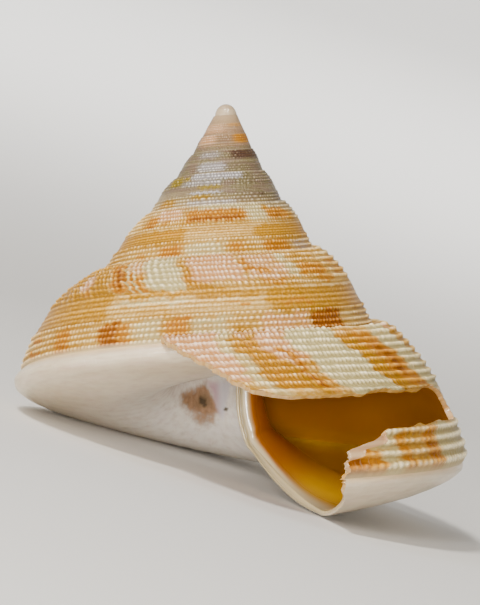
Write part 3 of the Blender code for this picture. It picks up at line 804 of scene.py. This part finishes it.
def flank_material():
    """Golden between the beads and cream on them, with orange, pale and brown markings.

    A skin is two colours, the one between the beads and the one on them. The one between the beads
    is partly the shell's golden ground and partly painted shade in the hollows.
    """
    n = Nodes("beaded_flank")
    broad = n.noise(14.0, 5.0, 4.0)
    streak = n.noise(130.0, 26.0, 3.0, 0.6)
    lines = n.noise(900.0, 9.0, 2.0, 0.5)
    along_cords = n.noise(22.0, 60.0, 2.0)
    fleck = n.noise(260.0, 50.0, 2.0)
    rows = n.noise(50.0, 38.0, 1.0)

    def both(share, under, over):
        return tuple(n.mix(share, a, b) for a, b in zip(under, over))

    def shown(kind):
        """How much of a marking shows, with a ragged edge that breaks up from cord to cord."""
        jitter = n.centred(n.mix(0.5, streak, rows), 1.3)
        return n.span(n.plus(n.layer(kind), jitter), 0.15, 0.85)

    skin = both(n.span(broad, 0.35, 0.65), ("946814", "F2C87C"), ("A68038", "F4D494"))
    spire = n.plus(n.layer("turn"), n.layer("across"))
    olive = n.span(spire, -1.62, -2.22)
    for share, *colours in (
            (n.times(n.span(along_cords, 0.45, 0.75), 0.7), "8C6004", "DCA44C"),
            (n.times(n.span(spire, -1.35, -1.8), 0.8), "84704A", "DCCCA8"),
            (olive, *both(n.span(streak, 0.3, 0.7), ("54482E", "86744E"), ("645A40", "A49874"))),
            (n.times(olive, n.span(broad, 0.42, 0.62)), "5E4C3C", "98836C"),
            (n.times(n.span(spire, -3.3, -5.4), 0.75), "86603E", "C4A080"),
            (shown("yellow"), *both(olive, ("865A00", "D89E2C"), ("625000", "AC9228"))),
            (shown("white"), "A0905E", "F2E2B0"),
            (shown("peach"), "B07A44", "FAD6B8"),
            (shown("orange"), "925800", "DA9C3A"),
            (shown("deep"), "703A00", "C07E2E"),
            (n.times(shown("nacre"), 0.75), "807A78", "ECEAF0"),
            (n.times(shown("brown"), 0.9), "341E14", "5C4030"),
            (n.times(n.span(n.layer("across"), 0.955, 1.01), 0.75), "C8B48C", "EADCC0")):
        skin = both(share, skin, colours)

    top = n.math("ADD", n.layer("bead"), n.centred(fleck, 0.7), clamp=True)
    marked = n.math("MAXIMUM", shown("orange"), shown("deep"))
    # Painted highlight: pale cream laid over the bead tops, weaker on orange and deep markings.
    pale = n.minus(0.55, n.times(marked, 0.42))
    # Darker between the beads and paler on them: partly the shell's own colours, partly painted shade in
    # the hollows.
    colour = n.mix(n.span(top, 0.05, 0.8), *skin)
    colour = n.tint(colour, n.span(top, 0.62, 1.0), pale, "FFF0D0")
    colour = n.tint(colour, n.span(lines, 0.55, 0.8), 0.12, "F3E2C0")
    colour = n.tint(colour, n.layer("tip"), 0.8, "AC9472")

    glossy = n.minus(0.92, n.times(marked, 0.52))
    gloss = n.plus(0.08, n.times(n.span(top, 0.35, 0.9), glossy))
    rough = n.minus(0.42, n.times(n.layer("bead"), 0.25))
    rough = n.plus(rough, n.centred(streak, 0.12))
    rough = n.minus(rough, n.times(olive, 0.08))
    n.bump(n.plus(lines, n.times(streak, 0.8)), 0.6, 0.07 * MM)
    return n.finish(colour, rough, gloss=gloss)


def base_material():
    """Cream, with pink and green clouds, and the brown patch, nacre and dirt of the umbilicus.

    The patch is partly staining and partly painted shadow, and the base is painted paler towards the
    umbilicus as painted light.
    """
    n = Nodes("smooth_base")
    broad = n.noise(9.0, 4.0, 4.0)
    lines = n.noise(420.0, 3.0, 3.0, 0.5)
    pearl = n.noise(17.0, 9.0, 2.0)
    cloud = n.noise(60.0, 20.0, 4.0)
    across = n.layer("across")
    callus = n.layer("callus")
    colour = n.mix(n.span(broad, 0.3, 0.7), "D3C0A0", "E3D3B8")
    colour = n.tint(colour, n.span(pearl, 0.5, 0.75), 0.35, "DDBFB4")
    colour = n.tint(colour, n.span(pearl, 0.48, 0.25), 0.3, "CFCFAE")
    colour = n.tint(colour, n.span(lines, 0.55, 0.75), 0.15, "F4EFE6")
    colour = n.mix(n.span(across, 1.16, 1.0), colour, "DCBE90")
    # Painted light: the base turns paler towards the umbilicus, against the shade that falls there.
    colour = n.tint(colour, n.span(across, 1.5, 1.9), 0.85, "EEE7DE")
    # The umbilicus's brown patch: staining with painted shadow over it, darkest at its middle.
    brown = n.mix(n.span(cloud, 0.35, 0.7), "82582E", "A2744A")
    brown = n.mix(n.layer("shade"), brown, "6E4C10")
    stain_and_shadow = n.span(n.plus(n.layer("stain_and_shadow"), n.centred(cloud, 0.9)), -0.15, 0.75)
    colour = n.tint(colour, stain_and_shadow, 0.92, brown)
    sheen = n.mix(n.span(n.layer("turn"), -0.262, -0.215), "B98A98", "CDC6CC")
    colour = n.tint(colour, n.layer("nacre"), 0.85, sheen)
    colour = n.mix(n.layer("dirt"), colour, "3A2C14")
    colour = n.tint(colour, callus, 0.85, "CFBD92")
    rough = n.minus(n.plus(0.3, n.times(broad, 0.12)), n.times(callus, 0.2))
    n.bump(lines, 0.25, 0.03 * MM)
    return n.finish(colour, rough, coat=0.3, subsurface=0.15)


def inner_material():
    """The inner face: pearly at the lip, then yellow, then deep amber.

    Further back and in the hollow behind the pillar the amber is painted lighter: painted light that
    stands in for light coming through the thin wall.
    """
    n = Nodes("amber_inside")
    broad = n.noise(11.0, 5.0)
    lines = n.noise(160.0, 5.0)
    depth = n.layer("behind_lip")
    turn = n.layer("turn")
    across = n.layer("across")
    far = n.mix(n.span(broad, 0.3, 0.7), "924800", "9C5C00")
    far = n.mix(n.span(turn, 0.12, 0.02), far, "AC7000")
    # Painted light: the far wall turns lighter the further back it lies, for light coming through the
    # wall.
    far = n.mix(n.span(turn, -0.02, -0.3), far, "CC7C00")
    near = n.mix(n.span(broad, 0.3, 0.7), "D69E00", "E0AC00")
    amber = n.mix(n.span(across, 0.92, 1.25), far, near)
    amber = n.tint(amber, n.span(lines, 0.5, 0.8), 0.15, "B88410")
    golden = n.mix(n.span(depth, 0.9, 3.6), "C49430", amber)
    colour = n.mix(n.span(depth, 0.1, 1.6), "DCCBA2", golden)
    # Painted light: the hollow behind the pillar gets a lighter amber than its shade would give.
    painted_light_by_pillar = n.times(n.span(across, 1.78, 1.94), n.span(depth, 0.0, 1.0))
    colour = n.mix(painted_light_by_pillar, colour, "B06400")
    pearly = n.span(depth, 2.2, 0.6)
    rough = n.plus(n.minus(0.27, n.times(pearly, 0.16)), n.times(broad, 0.08))
    n.bump(lines, 0.12, 0.04 * MM)
    return n.finish(colour, rough, coat=0.5, gloss=n.plus(0.15, n.times(pearly, 0.85)))


def lip_material():
    """The broken and the rounded edges, glossy at the pillar, with painted shade in the groove by its
    ridge.
    """
    n = Nodes("lip_edge")
    lines = n.noise(300.0, 30.0)
    across = n.layer("across")
    grain = n.span(lines, 0.3, 0.7)
    colour = n.mix(grain, "B88634", "D2A868")
    colour = n.mix(n.layer("pink"), colour, n.mix(grain, "A87C54", "C8A67C"))
    colour = n.mix(n.span(across, 1.1, 1.7), colour, "CCB98C")
    # Painted shade: the groove beside the pillar's ridge is darkened.
    colour = n.tint(colour, n.layer("groove_shade"), 0.75, "8C7C5C")
    rough = n.plus(0.11, n.times(n.span(across, 1.7, 1.1), 0.25))
    n.bump(lines, 0.06, 0.02 * MM)
    return n.finish(colour, rough, coat=1.0, subsurface=0.1)


FLANK = flank_material()
BASE = base_material()
INNER = inner_material()
EDGE = lip_material()


def flank_piece(name, first, last, columns, row_count):
    """One stretch of the flank, with its beads, cords and markings."""
    rows, upper, lower = flank_rows(row_count)
    turns = np.linspace(first, last, columns)
    t_at, s_at = warped(*grid(turns, rows), "outer")
    height, bead = relief(t_at, s_at)
    height -= SPIRE_SINK * ease(t_at, SPIRE_START + 0.4, SPIRE_START)
    points = place(t_at, s_at) + outward(t_at, s_at) * height[:, None]
    layers = mark_layers(t_at, s_at)
    layers.update(turn=t_at, across=s_at, age=age(t_at, s_at), bead=bead,
                  tip=ease(t_at + s_at, -4.6, -6.9))
    slit_column = np.searchsorted(turns, SLIT_END_TURN - 1e-6)
    make_piece(name, points, (columns, len(rows)), layers, FLANK, gap=(slit_column, upper, lower))


def dome_piece(name):
    """The blunt first half turn at the apex, a small dome that the first turn comes out of."""
    rings, count = 18, 64
    quarter = 0.25 * CIRCLE
    bend = np.append(np.linspace(0.0, quarter, rings - len(DOME_SKIRT)), DOME_SKIRT)
    tilt, turn = grid(bend, np.linspace(0.0, CIRCLE, count))
    tilt = np.maximum(tilt, 0.02)
    skirt = np.maximum(tilt - quarter, 0.0)
    radius = DOME_WIDE * np.where(skirt > 0.0, 1.0 - SKIRT_TAPER * skirt, np.sin(tilt))
    depth = DOME_TOP + DOME_DEEP * (1.0 - np.cos(np.minimum(tilt, quarter))) + SKIRT_FALL * skirt
    points = np.stack([radius * np.cos(-turn), radius * np.sin(-turn), -depth], axis=1)
    zero = np.zeros_like(tilt)
    layers = {kind: zero for kind in MARKS}
    layers.update(turn=zero - 8.0, across=tilt, age=turn * 0.01, bead=zero + 0.8, tip=zero + 1.0)
    layers["orange"] = 0.5 * ease(np.cos(turn - 2.0), 0.2, 0.8) * ease(tilt, 0.9, 1.3)
    make_piece(name, points, (rings, count), layers, FLANK, flip=True)


def spot(t, s, t_mid, s_mid, radius, soft=0.6):
    """A round patch about a place, full within a soft share of its radius in millimetres."""
    gap = place(t, s) - place(np.array([t_mid]), np.array([s_mid]))
    return ease(np.linalg.norm(gap, axis=1), radius, soft * radius)


def in_outline(t, s, corners, soft):
    """1 inside an outline on the umbilicus's wall and 0 outside it, over a soft edge in millimetres."""
    x, y = t * UMBILICUS_TURN, s * UMBILICUS_RISE
    corners = [(t_at * UMBILICUS_TURN, s_at * UMBILICUS_RISE) for t_at, s_at in corners]
    inside = np.zeros(len(t), bool)
    gap = np.full(len(t), np.inf)
    for (x0, y0), (x1, y1) in zip(corners, corners[1:] + corners[:1]):
        dx, dy = x1 - x0, y1 - y0
        share = np.clip(((x - x0) * dx + (y - y0) * dy) / (dx ** 2 + dy ** 2), 0, 1)
        gap = np.minimum(gap, np.hypot(x - x0 - share * dx, y - y0 - share * dy))
        inside ^= ((y0 > y) != (y1 > y)) & (x < dx * (y - y0) / (dy + 1e-12) + x0)
    return ease(np.where(inside, gap, -gap), -soft, soft)


def base_layers(t, s):
    """The brown patch, partly staining and partly painted shadow, the bare nacre and the specks in the
    umbilicus.
    """
    dirt = np.zeros_like(t)
    for *where, strength in DIRT:
        dirt = np.maximum(dirt, strength * spot(t, s, *where))
    # Darker middle and tail of the brown patch: staining with painted shadow.
    around = 0.8 * spot(t, s, *STAIN_AND_SHADOW_DARK, soft=0.3)
    tail = 0.6 * spot(t, s, *STAIN_AND_SHADOW_TAIL, soft=0.2)
    near_lip = ease(behind_lip(t, s), 1.3, 0.5)
    return {"stain_and_shadow": np.maximum(in_outline(t, s, STAIN_AND_SHADOW, 0.75), tail),
            "nacre": in_outline(t, s, NACRE, 0.3), "shade": around, "dirt": dirt,
            "callus": near_lip * ease(s, 1.75, 2.0)}


def base_piece(name, first, last, columns, rows):
    """A stretch of the base and of the umbilicus's wall."""
    t, s = grid(np.linspace(first, last, columns), rows)
    t_at = t - slant(t, s, "outer")
    layers = base_layers(t_at, s)
    layers.update(turn=t_at, across=s, age=t_at)
    make_piece(name, outer_points(t_at, s), (columns, len(rows)), layers, BASE)


def inner_piece(name, first, columns, row_count):
    """The inner face of the last turn and more, as far in as it can be seen."""
    rows, upper, lower = flank_rows(row_count)
    rows = np.concatenate([rows, np.linspace(1.0, 3.0, row_count)[1:]])
    turns = np.linspace(first, LIP_TURN, columns)
    slit_column = np.argmin(abs(turns - SLIT_END_TURN))
    turns[slit_column] = SLIT_END_TURN
    t, s = grid(turns, rows)
    t_at, s_at = warped(t, s, "inner")
    behind = (lip_reach(s, "inner") - t_at) * CIRCLE * section(t_at, s_at)[0]
    layers = {"turn": t_at, "across": s_at, "age": t_at,
              "behind_lip": behind / along(PEARL_MARGIN, s_at)}
    make_piece(name, inner_points(t_at, s_at), (columns, len(rows)), layers, INNER,
               gap=(slit_column, upper, lower), flip=True)


def edge_strip(name, t, s, steps, at_lip=True):
    """The wall's edge along a line of places, from its outer layer to its inner face."""
    v = np.linspace(0.0, 1.0, steps)
    t, s = np.broadcast_arrays(t, s)
    outer_t, outer_s = warped(t, s, "outer")
    inner_t, inner_s = warped(t, s, "inner")
    points = []
    for share in v:
        t_at = outer_t + (inner_t - outer_t) * ease(share, 0.3, 0.6)
        s_at = outer_s + (inner_s - outer_s) * share
        down = 0.45 * ease(share, 0.0, 0.35) + 0.55 * ease(share, 0.55, 1.0)
        top = outer_points(t_at, s_at)
        point = top + (inner_points(t_at, s_at) - top) * down
        if at_lip:
            rounded = math.sqrt(1.0 - (2.0 * share - 1.0) ** 2)
            ridge = EDGE_RIDGE_RISE * bell(share, *EDGE_RIDGE)
            lift = along(LIP_BULGE, s_at) * rounded + along(PILLAR_RIDGES, s_at) * ridge
            point += forward(t_at, s_at) * lift[:, None]
        points.append(point)
    points = np.stack(points, axis=1).reshape(-1, 3)
    if at_lip:
        pink = ease(outer_s, 0.755, 0.8) * ease(outer_s, 1.0, 0.93)
    else:
        pink = 0.4 * ease(outer_s, 0.5, 0.6)
    # Where the groove beside the pillar's ridge lies, for its painted shade.
    groove_shade = along(PILLAR_RIDGES, outer_s)[:, None] * bell(v, *EDGE_GROOVE_SHADE)
    layers = {"turn": outer_t, "across": outer_s, "age": outer_t, "pink": pink}
    layers = {key: np.repeat(values, steps) for key, values in layers.items()}
    layers["groove_shade"] = groove_shade.ravel()
    make_piece(name, points, (len(t), steps), layers, EDGE, flip=True)


def build_shell():
    for name, *stretch in FLANKS:
        flank_piece("flank_" + name, *stretch)
    dome_piece("apex")
    base_rows = np.concatenate([np.linspace(1.0, 1.8, 40), np.linspace(1.8, 2.2, 25)[1:],
                                np.linspace(2.2, 3.0, 25)[1:]])
    base_piece("base", -1.6, LIP_TURN, 500, base_rows)
    base_piece("umbilicus", -2.6, -1.6, 200, np.linspace(2.0, 3.0, 20))
    inner_piece("inside", -1.3, 400, 50)

    edge_strip("lip_upper", LIP_TURN, np.linspace(0.0, SLIT_UPPER, 180), 7)
    edge_strip("lip_lower", LIP_TURN, np.linspace(SLIT_LOWER, 3.0, 360), 19)
    slit = np.linspace(SLIT_END_TURN, LIP_TURN, 320)
    edge_strip("slit_upper_edge", slit[::-1], SLIT_UPPER, 7, at_lip=False)
    edge_strip("slit_lower_edge", slit, SLIT_LOWER, 7, at_lip=False)
    edge_strip("slit_end", SLIT_END_TURN, np.linspace(SLIT_UPPER, SLIT_LOWER, 60), 7, at_lip=False)


def stage():
    """A pale floor that curves up into a backdrop on all sides, so that no horizon shows."""
    profile = [(STAGE_FLAT, 0.0)]
    for k in range(1, BEND_STEPS + 1):
        turn = 0.25 * CIRCLE * k / BEND_STEPS
        profile.append((STAGE_FLAT + STAGE_BEND * math.sin(turn), STAGE_BEND * (1.0 - math.cos(turn))))
    profile.append((STAGE_FLAT + STAGE_BEND, STAGE_TOP))
    angles = [CIRCLE * k / STAGE_SIDES for k in range(STAGE_SIDES)]
    verts = [(r * math.cos(angle), r * math.sin(angle), z) for r, z in profile for angle in angles]
    verts.append((0.0, 0.0, 0.0))
    faces = [(len(verts) - 1, k, (k + 1) % STAGE_SIDES) for k in range(STAGE_SIDES)]
    for ring in range(len(profile) - 1):
        for k in range(STAGE_SIDES):
            a, b = ring * STAGE_SIDES + k, ring * STAGE_SIDES + (k + 1) % STAGE_SIDES
            faces.append((a, a + STAGE_SIDES, b + STAGE_SIDES, b))
    mesh = bpy.data.meshes.new("studio_floor")
    mesh.from_pydata(verts, [], faces)
    mesh.shade_smooth()
    look = Nodes("pale_studio")
    look.feed(look.shader, {"Base Color": "E4E2DE", "Roughness": 0.9})
    mesh.materials.append(look.material)
    floor = new_object("studio_floor", mesh)


def camera():
    """The photo's view. Its right and up, and the way to the camera, are turned like the shell."""
    dip_up = np.array([0.0, -math.sin(VIEW_DIP), math.cos(VIEW_DIP)])
    right = np.array([math.cos(VIEW_ROLL), 0.0, 0.0]) + math.sin(VIEW_ROLL) * dip_up
    up = np.array([-math.sin(VIEW_ROLL), 0.0, 0.0]) + math.cos(VIEW_ROLL) * dip_up
    right, up, back = REST @ right, REST @ up, REST @ FRONT
    target = np.array(APEX_PLACE) + right * VIEW_CENTRE[0] + up * VIEW_CENTRE[1]
    eye = (target + back * VIEW_DISTANCE) * MM
    lens = bpy.data.cameras.new("camera")
    lens.sensor_fit = "VERTICAL"
    lens.sensor_height = SENSOR
    lens.lens = SENSOR * VIEW_DISTANCE / VIEW_HEIGHT
    lens.clip_start = 0.01
    lens.clip_end = 20.0
    seen = new_object("camera", lens)
    turn = Matrix([[right[i], up[i], back[i]] for i in range(3)]).to_4x4()
    seen.matrix_world = Matrix.Translation(Vector(eye)) @ turn
    bpy.context.scene.camera = seen


def soft_light(name, place_at, size, power, colour, aim=SHELL_MIDDLE):
    lamp = bpy.data.lights.new(name, "AREA")
    lamp.shape = "ELLIPSE"
    lamp.size, lamp.size_y = size
    lamp.energy = power
    lamp.color = colour
    held = new_object(name, lamp)
    held.location = place_at
    held.rotation_euler = (Vector(place_at) - Vector(aim)).to_track_quat("Z", "Y").to_euler()


def world_light():
    world = bpy.data.worlds.new("studio")
    world.use_nodes = True
    background = world.node_tree.nodes["Background"]
    background.inputs["Color"].default_value = WORLD_COLOUR
    background.inputs["Strength"].default_value = WORLD_STRENGTH
    bpy.context.scene.world = world


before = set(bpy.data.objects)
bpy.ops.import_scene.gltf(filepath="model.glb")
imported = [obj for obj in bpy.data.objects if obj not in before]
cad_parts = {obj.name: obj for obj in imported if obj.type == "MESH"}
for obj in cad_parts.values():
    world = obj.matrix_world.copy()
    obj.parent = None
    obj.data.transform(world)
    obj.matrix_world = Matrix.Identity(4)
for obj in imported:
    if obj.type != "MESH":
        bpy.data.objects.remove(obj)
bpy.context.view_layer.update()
camera()
for lamp_row in LAMPS:
    soft_light(*lamp_row)
world_light()
stage()
build_shell()
